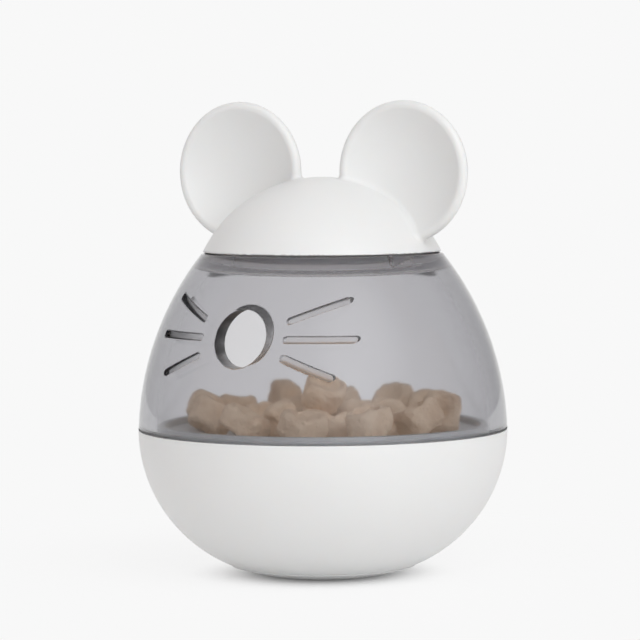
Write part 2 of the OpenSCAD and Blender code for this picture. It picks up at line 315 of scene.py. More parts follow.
class Value:
    """A node's output for use in arithmetic: each operation on it adds a Math node."""

    def __init__(self, board, socket):
        self.board = board
        self.socket = socket

    def math(self, operation, first, second=0.0):
        node = self.board.node("ShaderNodeMath", {"operation": operation}, {0: first, 1: second})
        return Value(self.board, node.outputs[0])

    def __add__(self, other):
        return self.math("ADD", self, other)

    def __radd__(self, other):
        return self.math("ADD", other, self)

    def __sub__(self, other):
        return self.math("SUBTRACT", self, other)

    def __rsub__(self, other):
        return self.math("SUBTRACT", other, self)

    def __mul__(self, other):
        return self.math("MULTIPLY", self, other)

    def __rmul__(self, other):
        return self.math("MULTIPLY", other, self)

    def __truediv__(self, other):
        return self.math("DIVIDE", self, other)

    def __pow__(self, other):
        return self.math("POWER", self, other)

    def sine(self):
        return self.math("SINE", self)

    def cosine(self):
        return self.math("COSINE", self)

    def at_most(self, other):
        return self.math("MINIMUM", self, other)

    def ramp(self, low, high):
        """A soft step from 0 at low to 1 at high."""
        settings = {"interpolation_type": "SMOOTHSTEP"}
        node = self.board.node("ShaderNodeMapRange", settings, {0: self, 1: low, 2: high, 3: 0.0, 4: 1.0})
        return Value(self.board, node.outputs[0])


class Board:
    """A node tree that nodes are added to by type, their settings first and then their sockets."""

    def __init__(self, tree):
        self.tree = tree

    def node(self, kind, settings=None, sockets=None):
        node = self.tree.nodes.new(kind)
        for key, setting in (settings or {}).items():
            setattr(node, key, setting)
        for key, value in (sockets or {}).items():
            self.join(value, node.inputs[key])
        return node

    def join(self, value, socket):
        """Links an output to a socket, or sets the socket's own value."""
        if isinstance(value, Value):
            value = value.socket
        if isinstance(value, bpy.types.NodeSocket):
            self.tree.links.new(value, socket)
        else:
            socket.default_value = value

    def out(self, node, key=0):
        return Value(self, node.outputs[key])

    def parts(self, vector):
        """The three numbers of a vector."""
        node = self.node("ShaderNodeSeparateXYZ", None, {0: vector})
        return [self.out(node, axis) for axis in range(3)]

    def combined(self, x, y, z):
        return self.out(self.node("ShaderNodeCombineXYZ", None, {0: x, 1: y, 2: z}))

    def from_axis(self, vector):
        """Distance of a place from the Z axis."""
        x, y, _ = self.parts(vector)
        return (x * x + y * y) ** 0.5

    def place(self):
        """Object coordinates of the shaded point."""
        return self.out(self.node("ShaderNodeTexCoord"), "Object")

    def stretched(self, place, scale):
        """The coordinates scaled along each axis."""
        return self.out(self.node("ShaderNodeMapping", None, {"Vector": place, "Scale": scale}))

    def noise(self, place, scale, detail=3.0, rough=0.5):
        sockets = {"Vector": place, "Scale": scale, "Detail": detail, "Roughness": rough}
        return self.out(self.node("ShaderNodeTexNoise", None, sockets))

    def cells(self, place, scale):
        return self.out(self.node("ShaderNodeTexVoronoi", None, {"Vector": place, "Scale": scale}))

    def blend(self, first, second, share_of_second):
        """A colour between two colours."""
        sockets = {0: share_of_second, 6: first, 7: second}
        return self.out(self.node("ShaderNodeMix", {"data_type": "RGBA"}, sockets), 2)

    def bump(self, height, strength, distance):
        sockets = {"Height": height, "Strength": strength, "Distance": distance}
        return self.out(self.node("ShaderNodeBump", None, sockets))

    def mixed(self, share_of_second, first, second):
        """A shader between those of two nodes."""
        sockets = {0: share_of_second, 1: first.outputs[0], 2: second.outputs[0]}
        return self.node("ShaderNodeMixShader", None, sockets).outputs[0]

    def surface(self, sockets, **others):
        """A Principled surface wired to the material's output, with its other ends, such as a volume."""
        node = self.node("ShaderNodeBsdfPrincipled", None, sockets)
        self.node("ShaderNodeOutputMaterial", None, {"Surface": node.outputs[0], **others})

    def end(self, geometry, material):
        """Gives a geometry tree's result its material and hands it out."""
        sockets = {"Geometry": geometry, "Material": material}
        painted = self.node("GeometryNodeSetMaterial", None, sockets)
        self.node("NodeGroupOutput", None, {0: painted.outputs[0]})


def opaque(rgb, gain=1.0):
    """A colour with full alpha, lightened or darkened by gain."""
    return tuple(min(1.0, part * gain) for part in rgb) + (1.0,)


def cleared(holder):
    """The board of a material's, lamp's or world's node tree, emptied."""
    holder.use_nodes = True
    holder.node_tree.nodes.clear()
    return Board(holder.node_tree)


def blank_finish(name):
    """A new material and the board of its empty node tree."""
    finish = bpy.data.materials.new(name)
    return finish, cleared(finish)


def white_plastic_finish(finishes, name="white_satin_plastic", gain=1.0):
    """Satin moulded plastic: a fine tooth, faint clouds in gloss and tone, light that sinks in a little."""
    finish, board = blank_finish(name)
    place = board.place()
    cloud = board.noise(place, 55.0, 2.0)
    tooth = board.noise(place, 3200.0, 3.0, 0.6)
    tone = board.blend(opaque(finishes.white, 0.985 * gain), opaque(finishes.white, 1.01 * gain), cloud)
    board.surface({
        "Base Color": tone,
        "Roughness": 0.36 + 0.06 * cloud + 0.05 * tooth,
        "Normal": board.bump(tooth, 0.12, 0.00004),
        "IOR": 1.48,
        "Subsurface Weight": 0.12,
        "Subsurface Radius": (1.0, 0.72, 0.55),
        "Subsurface Scale": 0.0016,
    })
    return finish


def floor_plastic_painted_lighter_finish(finishes):
    """The same plastic painted lighter, for the floor under the biscuits: a painted lift of light on a
    floor that lies in the dome's shade.
    """
    # Painted light: the colour is raised over the white plastic to lighten the shade that the floor lies in
    # under the dome
    painted_light_gain = 1.14
    return white_plastic_finish(finishes, "floor_plastic_painted_lighter", painted_light_gain)


def smoky_plastic_finish(finishes):
    """Clear polished plastic with smoke in it, faint clouds in its gloss, fine rub marks and matt cuts."""
    finish, board = blank_finish("smoky_clear_plastic")
    place = board.place()
    cloud = board.noise(place, 70.0, 3.0)
    rubbed = board.noise(board.stretched(place, (1.0, 1.0, 9.0)), 420.0, 4.0, 0.6)
    matt = board.out(board.node("ShaderNodeAttribute", {"attribute_name": MATT_CUT}), "Fac")
    smoke = board.node("ShaderNodeVolumeAbsorption", None, {
        "Color": opaque(finishes.smoke),
        "Density": finishes.smoke_depth,
    })
    board.surface({
        "Base Color": opaque(finishes.tint),
        "Roughness": 0.05 + 0.03 * cloud + 0.03 * rubbed.ramp(0.55, 0.8) + 0.5 * matt,
        "IOR": 1.5,
        "Specular Tint": (0.4, 0.4, 0.4, 1.0),
        "Transmission Weight": 1.0,
    }, Volume=smoke.outputs[0])
    return finish


def biscuit_finish(finishes):
    """Baked crumb: mottled tan with a darker crust, pores and grains."""
    finish, board = blank_finish("baked_biscuit")
    place = board.place()
    mottle = board.noise(place, 160.0, 4.0, 0.6)
    grain = board.noise(place, 1100.0, 5.0, 0.7)
    pores = board.cells(place, 900.0)
    baked = board.blend(opaque(finishes.crust), opaque(finishes.biscuit), mottle.ramp(0.25, 0.62))
    tone = board.blend(baked, opaque(finishes.biscuit, 1.08), 0.35 * grain.ramp(0.45, 0.75))
    height = grain + 0.6 * pores.ramp(0.0, 0.5)
    board.surface({
        "Base Color": tone,
        "Roughness": 0.78 + 0.16 * grain,
        "Normal": board.bump(height, 0.55, 0.0004),
        "IOR": 1.4,
        "Specular IOR Level": 0.25,
    })
    return finish


def rubber_finish(finishes):
    """Matt soft rubber with a fine dusty tooth."""
    finish, board = blank_finish("soft_grey_rubber")
    place = board.place()
    dust = board.noise(place, 240.0, 4.0, 0.6)
    tooth = board.noise(place, 4000.0, 2.0)
    dusty = opaque(finishes.rubber, 1.25)
    board.surface({
        "Base Color": board.blend(opaque(finishes.rubber), dusty, dust.ramp(0.4, 0.8)),
        "Roughness": 0.62 + 0.2 * dust,
        "Normal": board.bump(tooth, 0.2, 0.00004),
    })
    return finish


def turned_steel_finish(finishes):
    """Lathe-turned steel: fine rings about the axis, with clouded gloss."""
    finish, board = blank_finish("turned_steel")
    place = board.place()
    wobble = board.noise(place, 300.0, 2.0)
    rings = (board.from_axis(place) * 16000.0 + wobble * 3.0).sine()
    cloud = board.noise(place, 90.0, 4.0, 0.6)
    board.surface({
        "Base Color": board.blend(opaque(finishes.steel, 0.82), opaque(finishes.steel, 1.1), cloud),
        "Metallic": 1.0,
        "Roughness": 0.26 + 0.14 * cloud + 0.04 * rings,
        "Normal": board.bump(rings, 0.25, 0.00002),
    })
    return finish


def plated_steel_finish(finishes):
    """Zinc-plated screw steel with a slight bloom."""
    finish, board = blank_finish("plated_screw_steel")
    place = board.place()
    bloom = board.noise(place, 700.0, 4.0, 0.6)
    board.surface({
        "Base Color": board.blend(opaque(finishes.screw, 0.8), opaque(finishes.screw, 1.12), bloom),
        "Metallic": 1.0,
        "Roughness": 0.24 + 0.2 * bloom,
        "Normal": board.bump(bloom, 0.1, 0.00003),
    })
    return finish


def kept_finish(name, make, context):
    """The named material, made on first use."""
    return bpy.data.materials.get(name) or make(context.scene.mouse_toy.finishes)


def fused(a, b, r):
    """Union of two fields with a fillet of radius r."""
    return np.maximum(r, np.minimum(a, b)) - np.hypot(np.maximum(r - a, 0), np.maximum(r - b, 0))


def common(a, b, r):
    """Overlap of two fields with its edge rounded by r."""
    return np.minimum(-r, np.maximum(a, b)) + np.hypot(np.maximum(r + a, 0), np.maximum(r + b, 0))


def cut(a, b, r):
    """Field a with b taken away, the new edge rounded by r."""
    return common(a, -b, r)


def field_slope(shape, points, step=0.00004):
    """Gradient of a field at points, by central differences."""
    slope = np.empty_like(points)
    for axis in range(3):
        offset = np.zeros(3)
        offset[axis] = step
        slope[:, axis] = (shape(points + offset) - shape(points - offset)) / (2 * step)
    return slope


def settled(shape, points, most, rounds=5):
    """Points moved onto the zero surface of a field, by at most so much a round, and its normals there."""
    least_steep = 0.2
    for _ in range(rounds):
        slope = field_slope(shape, points)
        steep = np.maximum((slope**2).sum(1), least_steep)
        move = np.clip(shape(points) / steep, -most, most)
        points = points - slope * move[:, None]
    slope = field_slope(shape, points)
    return points, slope / np.maximum(np.linalg.norm(slope, axis=1), 1e-9)[:, None]


def netted(values, places, closed):
    """Vertices and quads of the surface where values change sign on a grid of places.

    Each mixed cell gets a vertex, and each grid edge that changes sign a quad. With closed the first axis
    of the grid runs round to its start.
    """
    if closed:
        values = np.concatenate([values, values[:1]])
        places = np.concatenate([places, places[:1]])
    inside = values < 0
    cells = tuple(n - 1 for n in values.shape)
    total = np.zeros(cells + (3,))
    hits = np.zeros(cells, int)

    def corner(data, bits):
        return data[tuple(slice(bit, bit + n) for bit, n in zip(bits, cells))]

    for axis in range(3):
        for first in (0, 1):
            for second in (0, 1):
                low = [first, second]
                low.insert(axis, 0)
                high = list(low)
                high[axis] = 1
                v0, v1 = corner(values, low), corner(values, high)
                crossing = corner(inside, low) != corner(inside, high)
                part = np.where(crossing, v0 / np.where(crossing, v0 - v1, 1.0), 0.0)[..., None]
                spot = corner(places, low) * (1 - part) + corner(places, high) * part
                total += np.where(crossing[..., None], spot, 0.0)
                hits += crossing
    mixed = hits > 0
    number = np.full(cells, -1)
    number[mixed] = np.arange(mixed.sum())
    points = total[mixed] / hits[mixed][:, None]
    quads = []
    for axis in range(3):
        one, two = (axis + 1) % 3, (axis + 2) % 3
        near = [slice(None)] * 3
        near[axis] = slice(0, -1)
        far = [slice(None)] * 3
        far[axis] = slice(1, None)
        change = inside[tuple(near)] != inside[tuple(far)]
        leaving = inside[tuple(near)]
        index = np.argwhere(change)
        if closed and axis != 0:
            index = index[index[:, 0] < cells[0]]
        ring = []
        for back_one, back_two in ((1, 1), (0, 1), (0, 0), (1, 0)):
            cell = index.copy()
            cell[:, one] -= back_one
            cell[:, two] -= back_two
            if closed:
                cell[:, 0] %= cells[0]
            fits = ((cell >= 0) & (cell < np.array(cells))).all(1)
            cell = np.where(fits[:, None], cell, 0)
            ring.append(np.where(fits, number[tuple(cell.T)], -1))
        quad = np.stack(ring, 1)
        outward = leaving[tuple(index.T)]
        quad = np.where(outward[:, None], quad, quad[:, ::-1])
        quads.append(quad[(quad >= 0).all(1)])
    return points, np.concatenate(quads)


def in_scene(name, data):
    """A new object at the scene's origin that shows the data."""
    piece = bpy.data.objects.new(name, data)
    bpy.context.scene.collection.objects.link(piece)
    return piece


def object_from(name, points, faces, finish):
    """A new object of plain mesh at the origin."""
    mesh = bpy.data.meshes.new(name)
    mesh.from_pydata(points, [], faces)
    mesh.validate()
    mesh.materials.append(finish)
    return in_scene(name, mesh)


def skinned(name, shape, places, closed, cell, finish):
    """An object on the zero surface of a field, shaded by the field's slope.

    The field is sampled on a grid of places, in batches to spare memory.
    """
    batches = 12
    values = np.concatenate([shape(part) for part in np.array_split(places.reshape(-1, 3), batches)])
    points, quads = netted(values.reshape(places.shape[:3]), places, closed)
    points, normals = settled(shape, points, cell)
    spans = points[quads[:, 2]] - points[quads[:, 0]], points[quads[:, 3]] - points[quads[:, 1]]
    if (np.cross(*spans) * normals[quads[:, 0]]).sum() < 0:
        quads = quads[:, ::-1]
    piece = object_from(name, points.tolist(), quads.tolist(), finish)
    piece.data.shade_smooth()
    piece.data.normals_split_custom_set_from_vertices(normals.tolist())
    return piece


def bend(centre, radius, start, end, steps):
    """Points along an arc in a half section, angles in degrees."""
    angles = np.radians(np.linspace(start, end, steps + 1))
    return [(centre[0] + radius * math.cos(a), centre[1] + radius * math.sin(a)) for a in angles]


def turned(name, profile, finish, closed=False, steps=192):
    """A lathe piece: the half section's points turned about the axis; an open section ends on the axis."""
    angles = np.linspace(0, 2 * math.pi, steps, endpoint=False)
    points, rows = [], []
    for radius, height in profile:
        if radius < SAME_SPOT:
            rows.append([len(points)])
            points.append((0.0, 0.0, height))
            continue
        rows.append(list(range(len(points), len(points) + steps)))
        points.extend((radius * math.cos(a), radius * math.sin(a), height) for a in angles)
    faces = []
    following = rows[1:] + rows[:1] if closed else rows[1:]
    for low, high in zip(rows, following):
        for i in range(steps):
            j = (i + 1) % steps
            if len(low) == 1:
                faces.append((low[0], high[j], high[i]))
            elif len(high) == 1:
                faces.append((low[i], low[j], high[0]))
            else:
                faces.append((low[i], low[j], high[j], high[i]))
    piece = object_from(name, points, faces, finish)
    tidy_normals(piece.data)
    return piece


def tidy_normals(mesh):
    """Faces turned outwards and shaded smooth, except over sharp edges."""
    work = bmesh.new()
    work.from_mesh(mesh)
    bmesh.ops.remove_doubles(work, verts=work.verts, dist=SAME_SPOT)
    bmesh.ops.recalc_face_normals(work, faces=work.faces)
    work.to_mesh(mesh)
    work.free()
    mesh.shade_smooth()
    mesh.set_sharp_from_angle(angle=SHARP_ANGLE)


def settle_on(piece, body, node):
    """Rides a finished piece on its body and hides the CAD node it stands for."""
    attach(piece, body)
    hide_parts(node)


def plain_mesh(maker, name):
    """Turns an object's evaluated geometry into a plain mesh object and removes the maker."""
    graph = bpy.context.evaluated_depsgraph_get()
    mesh = bpy.data.meshes.new_from_object(maker.evaluated_get(graph))
    bpy.data.objects.remove(maker)
    mesh.name = name
    return in_scene(name, mesh)


def blank_tree(name, inputs):
    """A new geometry tree, the board of its nodes, and its inputs' values by name.

    An input is a whole number, a number or, where it has no default, a material.
    """
    tree = bpy.data.node_groups.new(name, "GeometryNodeTree")
    for label, default in inputs.items():
        kind = SOCKET_KINDS[type(default)]
        socket = tree.interface.new_socket(label, in_out="INPUT", socket_type=kind)
        if default is not None:
            socket.default_value = default
    tree.interface.new_socket("Geometry", in_out="OUTPUT", socket_type="NodeSocketGeometry")
    board = Board(tree)
    given = board.node("NodeGroupInput")
    return tree, board, {socket.name: Value(board, socket) for socket in given.outputs}


def run_tree(tree, name, values):
    """Plain mesh object made by a geometry tree with the given inputs."""
    maker = in_scene(name + "_maker", bpy.data.meshes.new(name + "_maker"))
    modifier = maker.modifiers.new(name, "NODES")
    modifier.node_group = tree
    for item in tree.interface.items_tree:
        if item.in_out == "INPUT" and item.name in values:
            modifier[item.identifier] = values[item.name]
    maker.update_tag()
    bpy.context.view_layer.update()
    return plain_mesh(maker, name)


def screw_tree():
    """Geometry tree: cap screws with a hexagon socket and a thread, on a circle."""
    tree, board, size = blank_tree("screws_on_circle", {
        "Count": 3,
        "Circle Radius": 0.015,
        "Head Base": 0.012,
        "Diameter": 0.003,
        "Length": 0.009,
        "Head Diameter": 0.0056,
        "Head Height": 0.0022,
        "Pitch": 0.0009,
        "Material": None,
    })

    def lifted(geometry, height):
        sockets = {"Geometry": geometry, "Translation": board.combined(0.0, 0.0, height)}
        return board.node("GeometryNodeTransform", None, sockets).outputs[0]

    def rod(radius, depth, sides):
        sockets = {"Vertices": sides, "Radius": radius, "Depth": depth}
        return board.node("GeometryNodeMeshCylinder", None, sockets).outputs["Mesh"]

    core_r = size["Diameter"] * 0.42
    ridge_r = size["Diameter"] * 0.075
    key_r = size["Head Diameter"] * 0.27
    key_len = size["Head Height"] * 1.2
    thread_len = size["Length"] * 0.92
    thread_low = size["Head Base"] - size["Length"] + size["Diameter"] * 0.1
    root = size["Head Height"] * 0.3
    core_len = size["Length"] + root
    core = lifted(rod(core_r, core_len, 24), size["Head Base"] + root - core_len / 2)
    head_top = size["Head Base"] + size["Head Height"]
    head = rod(size["Head Diameter"] / 2, size["Head Height"], 48)
    head = lifted(head, head_top - size["Head Height"] / 2)
    hexagon = lifted(rod(key_r, key_len, 6), head_top)
    hollow = board.node("GeometryNodeMeshBoolean", {"operation": "DIFFERENCE"}, {
        "Mesh 1": head, "Mesh 2": hexagon
    })
    spiral = board.node("GeometryNodeCurveSpiral", None, {
        "Resolution": 20,
        "Rotations": thread_len / size["Pitch"],
        "Start Radius": core_r,
        "End Radius": core_r,
        "Height": thread_len,
    })
    ridge = board.node("GeometryNodeCurvePrimitiveCircle", None, {"Resolution": 4, "Radius": ridge_r})
    thread = board.node("GeometryNodeCurveToMesh", None, {
        "Curve": spiral.outputs[0], "Profile Curve": ridge.outputs[0], "Fill Caps": True
    })
    thread = lifted(thread.outputs[0], thread_low)
    screw = board.node("GeometryNodeJoinGeometry")
    for part in (core, hollow.outputs[0], thread):
        board.join(part, screw.inputs[0])
    ring = board.node("GeometryNodeMeshCircle", None, {
        "Vertices": size["Count"], "Radius": size["Circle Radius"]
    })
    spread = board.node("GeometryNodeInstanceOnPoints", None, {
        "Points": ring.outputs[0], "Instance": screw.outputs[0]
    })
    real = board.node("GeometryNodeRealizeInstances", None, {0: spread.outputs[0]})
    board.end(real.outputs[0], size["Material"])
    return tree


def biscuit_tree():
    """Geometry tree: a ring of lumpy dished biscuits that lean inwards, each spun and tipped its own way.

    A cube is swelled to a rounded block, its top and bottom are sunk, and copies are set on the ring.
    Every fourth of a ring's first biscuits stands on edge.
    """
    tree, board, size = blank_tree("biscuit_ring", {
        "Count": 6,
        "Ring Radius": 0.0,
        "Height": 0.03,
        "First": 0.0,
        "Lean": 0.0,
        "Width": 0.0102,
        "Thickness": 0.0072,
        "Hollow": 0.3,
        "Tip": 0.2,
        "Lump": 0.0011,
        "Crumb": 0.0002,
        "Seed": 5,
        "Material": None,
    })
    squareness = 3.6
    edge_every, edge_before = 4.0, 8.0
    edge_turn, edge_lift = math.radians(58), 0.11
    spin = math.radians(47)
    dent_scale, crumb_scale = 125.0, 900.0

    def scaled(vector, scale):
        sockets = {0: vector, "Scale": scale}
        return board.out(board.node("ShaderNodeVectorMath", {"operation": "SCALE"}, sockets))

    def paired(operation, first, second):
        sockets = {0: first, 1: second}
        return board.out(board.node("ShaderNodeVectorMath", {"operation": operation}, sockets))

    cube = board.node("GeometryNodeMeshCube", None, {
        "Size": (2.0, 2.0, 2.0), "Vertices X": 26, "Vertices Y": 26, "Vertices Z": 20
    })
    spot = board.out(board.node("GeometryNodeInputPosition"))
    total = 0.0
    for side in board.parts(spot):
        total = side.math("ABSOLUTE", side) ** squareness + total
    block = scaled(spot, total ** (-1.0 / squareness))
    sunk = 1.0 - size["Hollow"] * board.from_axis(block).ramp(0.85, 0.1)
    half = board.combined(size["Width"] / 2, size["Width"] / 2, sunk * size["Thickness"] / 2)
    rounded = paired("MULTIPLY", block, half)
    biscuit = board.node("GeometryNodeSetPosition", None, {
        "Geometry": cube.outputs["Mesh"], "Position": rounded
    })
    points = board.node("GeometryNodePoints", None, {"Count": size["Count"]})
    index = board.out(board.node("GeometryNodeInputIndex"))
    angle = size["First"] + index * (2 * math.pi) / size["Count"]
    reach = size["Ring Radius"] - size["Thickness"] / 2 * size["Lean"].sine()
    middle = size["Height"] + size["Thickness"] / 2 * size["Lean"].cosine()
    there = board.combined(reach * angle.cosine(), reach * angle.sine(), middle)
    placed = board.node("GeometryNodeSetPosition", None, {
        "Geometry": points.outputs[0], "Position": there
    })
    # Each biscuit's own phase, which gives it its own size and tilt
    own = index * 2.1 + size["First"] * 5.0 + size["Seed"]
    across = 1.05 + 0.05 * (own * 1.7).sine()
    along = 1.05 + 0.06 * (own * 2.9).cosine()
    tall = 1.14 + 0.10 * (own * 2.3).cosine()
    on_edge = index.math("MODULO", index, edge_every).ramp(0.5, 0.4)
    on_edge = on_edge * index.ramp(edge_before, edge_before - 1.0) * size["Count"].ramp(1.0, 2.0)
    spread_out = board.node("GeometryNodeInstanceOnPoints", None, {
        "Points": placed.outputs[0],
        "Instance": biscuit.outputs[0],
        "Rotation": board.combined(0.0, 0.0 - size["Lean"], angle),
        "Scale": board.combined(across, along, tall),
    })
    spun = board.node("GeometryNodeRotateInstances", None, {
        "Instances": spread_out.outputs[0],
        "Rotation": board.combined(
            size["Tip"] * own.sine() + on_edge * edge_turn,
            size["Tip"] * own.cosine(),
            index * spin,
        ),
        "Local Space": True,
    })
    lift = (tall - 1.0) * size["Thickness"] / 2 + on_edge * size["Width"] * edge_lift
    raised = board.node("GeometryNodeTranslateInstances", None, {
        "Instances": spun.outputs[0],
        "Translation": board.combined(0.0, 0.0, lift),
        "Local Space": False,
    })
    real = board.node("GeometryNodeRealizeInstances", None, {0: raised.outputs[0]})
    where = board.out(board.node("GeometryNodeInputPosition"))
    facing = board.out(board.node("GeometryNodeInputNormal"))
    seed_shift = board.combined(size["Seed"] * 0.37, size["Seed"] * 0.11, 0.0)
    shifted = paired("ADD", where, seed_shift)
    dents = board.noise(shifted, dent_scale, 2.0, 0.5)
    crumbs = board.noise(shifted, crumb_scale, 4.0, 0.6)
    depth = dents.ramp(0.62, 0.28) * size["Lump"] + crumbs.ramp(0.7, 0.3) * size["Crumb"]
    moved = board.node("GeometryNodeSetPosition", None, {
        "Geometry": real.outputs[0], "Offset": scaled(facing, depth * -1.0)
    })
    smooth = board.node("GeometryNodeSetShadeSmooth", None, {"Geometry": moved.outputs[0]})
    board.end(smooth.outputs[0], size["Material"])
    return tree


def joined(name, pieces, finish):
    """One object from several, in one material."""
    work = bmesh.new()
    for piece in pieces:
        work.from_mesh(piece.data)
        bpy.data.objects.remove(piece)
    mesh = bpy.data.meshes.new(name)
    work.to_mesh(mesh)
    work.free()
    mesh.materials.append(finish)
    return in_scene(name, mesh)


class MOUSE_OT_base(bpy.types.Operator):
    """Turns the white bowl with its snap ring and ledge, and sets its posts and rib"""

    bl_idname = "mouse_toy.base"
    bl_label = "Make base"

    def execute(self, context):
        form = form_of(context)
        toy = form.toy
        body, base, weight = toy.body, toy.base, toy.weight
        finish = kept_finish("white_satin_plastic", white_plastic_finish, context)
        edge = base.edge_r
        seam = body.seam_z - body.press_gap
        centre = (form.foot_r, body.seam_z)
        inner = body.seam_z - base.wall
        lip_angle = -0.6
        profile = [(0.0, 0.0)]
        profile += bend(centre, body.seam_z, -90, lip_angle, 72)
        profile += bend((form.body_r - edge, seam - edge), edge, 0, 90, 6)
        gap = toy.dome.wall + 2 * body.press_gap
        profile += [(form.side_x(z, gap), z) for z in np.linspace(seam, form.spigot_z - edge, 6)]
        profile += bend((form.side_x(form.spigot_z, gap) - edge, form.spigot_z - edge), edge, 0, 90, 4)
        profile += bend((form.spigot_in + edge, form.spigot_z - edge), edge, 90, 180, 4)
        profile += [(form.spigot_in, form.ledge_z), (form.ledge_in, form.ledge_z)]
        low = form.ledge_z - base.ledge_t
        profile += [(form.ledge_in, low)]
        slope_len, slope_steps = 0.02, 400
        over = np.linspace(0, slope_len, slope_steps)
        slope = np.stack([form.ledge_in + over, low - over], 1)
        hit = slope[np.hypot(slope[:, 0] - form.foot_r, slope[:, 1] - seam) > inner][0]
        start = math.degrees(math.atan2(hit[1] - seam, hit[0] - form.foot_r))
        profile += bend(centre, inner, start, -90, 48)
        profile += [(0.0, base.wall)]
        shell = turned("base_bowl_shell", profile, finish)
        bowl = joined("base_bowl", [shell] + self.supports(base, weight, finish), finish)
        bowl.data.set_sharp_from_angle(angle=SHARP_ANGLE)
        settle_on(bowl, "base", "base_shell")
        return {"FINISHED"}

    def supports(self, base, weight, finish):
        """The posts and the rib under the disc, with their feet sunk into the bowl's wall."""
        disc_gap, bore_gap = 0.00002, 0.00005
        flare_w, flare_h, round_r = 0.0008, 0.0016, 0.0004
        top = weight.disc_z - disc_gap
        foot = base.wall * 0.6
        post_r = weight.post_d / 2
        bore_r = weight.screw_d / 2 + bore_gap
        section = [(post_r + flare_w, foot), (post_r, foot + flare_h)]
        section += bend((post_r - round_r, top - round_r), round_r, 0, 90, 4)
        section += [(bore_r, top), (bore_r, foot)]
        pieces = []
        for i in range(weight.screw_n):
            angle = 2 * math.pi * i / weight.screw_n
            across = Vector((math.cos(angle), math.sin(angle), 0)) * weight.circle_r
            post = turned("base_post", section, finish, closed=True, steps=48)
            post.data.transform(Matrix.Translation(across))
            pieces.append(post)
        outer = weight.disc_d / 2 - weight.rib_t
        inner, low = outer - weight.rib_t, base.wall * 0.9
        rib = [(outer, low), (outer, top), (inner, top), (inner, low)]
        return pieces + [turned("base_rib", rib, finish, closed=True)]


class MOUSE_OT_floor(bpy.types.Operator):
    """Turns the dished floor that carries the biscuits"""

    bl_idname = "mouse_toy.floor"
    bl_label = "Make dished floor"

    def execute(self, context):
        form = form_of(context)
        body, base = form.toy.body, form.toy.base
        # The floor's colour is painted lighter against the shade under the dome
        finish = kept_finish("floor_plastic_painted_lighter", floor_plastic_painted_lighter_finish, context)
        top, edge = body.seam_z, 0.0003
        tilt = math.degrees(math.asin(form.dish_edge_r / form.dish_r))
        under_r = form.dish_r + base.floor_t
        rim = math.degrees(math.asin(math.sqrt(under_r**2 - (form.dish_cz - form.ledge_z) ** 2) / under_r))
        centre = (0.0, form.dish_cz)
        profile = bend(centre, under_r, -90, -90 + rim, 40)
        profile += bend((form.floor_r - edge, form.ledge_z + edge), edge, -90, 0, 4)
        profile += bend((form.floor_r - edge, top - edge), edge, 0, 90, 4)
        profile += bend(centre, form.dish_r, -90 + tilt, -90, 40)
        profile[0] = (0.0, profile[0][1])
        profile[-1] = (0.0, profile[-1][1])
        floor = turned("treat_floor_dish", profile, finish)
        settle_on(floor, "base", "treat_floor")
        return {"FINISHED"}


class MOUSE_OT_weight(bpy.types.Operator):
    """Finishes the steel disc and sets its screws"""

    bl_idname = "mouse_toy.weight"
    bl_label = "Make weight and screws"

    def execute(self, context):
        weight = context.scene.mouse_toy.weight
        steel = kept_finish("turned_steel", turned_steel_finish, context)
        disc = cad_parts["counterweight"]
        for slot in disc.material_slots:
            slot.material = steel
        head_base = weight.disc_z + weight.disc_t - weight.head_sink - weight.head_h
        screws = run_tree(screw_tree(), "weight_cap_screws", {
            "Count": weight.screw_n,
            "Circle Radius": weight.circle_r,
            "Head Base": head_base,
            "Diameter": weight.screw_d,
            "Length": weight.screw_len,
            "Head Diameter": weight.head_d,
            "Head Height": weight.head_h,
            "Pitch": weight.thread_pitch,
            "Material": kept_finish("plated_screw_steel", plated_steel_finish, context),
        })
        tidy_normals(screws.data)
        settle_on(screws, "base", "weight_screws")
        return {"FINISHED"}


class MOUSE_OT_treats(bpy.types.Operator):
    """Lays the biscuits in the dished floor"""

    bl_idname = "mouse_toy.treats"
    bl_label = "Make biscuits"

    def execute(self, context):
        form = form_of(context)
        body, base, treats = form.toy.body, form.toy.base, form.toy.treats
        finish = kept_finish("baked_biscuit", biscuit_finish, context)
        tree = biscuit_tree()
        step = 2 * treats.round_r
        inner, outer = 1.3 * step, 2.4 * step
        low = body.seam_z - base.dish_h + body.play + treats.clear
        lean_at = [math.asin(r / form.dish_r) for r in (inner, outer)]
        lift_at = [low + r**2 / (2 * form.dish_r) + body.play for r in (inner, outer)]
        top = low + treats.thick + treats.width / 2 * math.sin(treats.lean) + body.play
        # Each ring's number of biscuits, radius, height, first angle in degrees and lean
        rings = [
            (1, 0.0, low, 0, 0.0),
            (6, inner, lift_at[0], 21, lean_at[0]),
            (12, outer, lift_at[1], 20, lean_at[1]),
            (1, step / 4, top, 109, treats.lean),
        ]
        pieces = []
        for number, radius, height, first, lean in rings:
            pieces.append(run_tree(tree, "biscuits", {
                "Count": number,
                "Ring Radius": radius,
                "Height": height,
                "First": math.radians(first),
                "Lean": lean,
                "Width": treats.width,
                "Thickness": treats.thick,
                "Hollow": treats.hollow,
                "Tip": treats.tip,
                "Lump": treats.lump,
                "Crumb": treats.crumb,
                "Seed": treats.seed,
                "Material": finish,
            }))
        heap = joined("treat_biscuits", pieces, finish)
        heap.data.shade_smooth()
        settle_on(heap, "base", "treats")
        return {"FINISHED"}


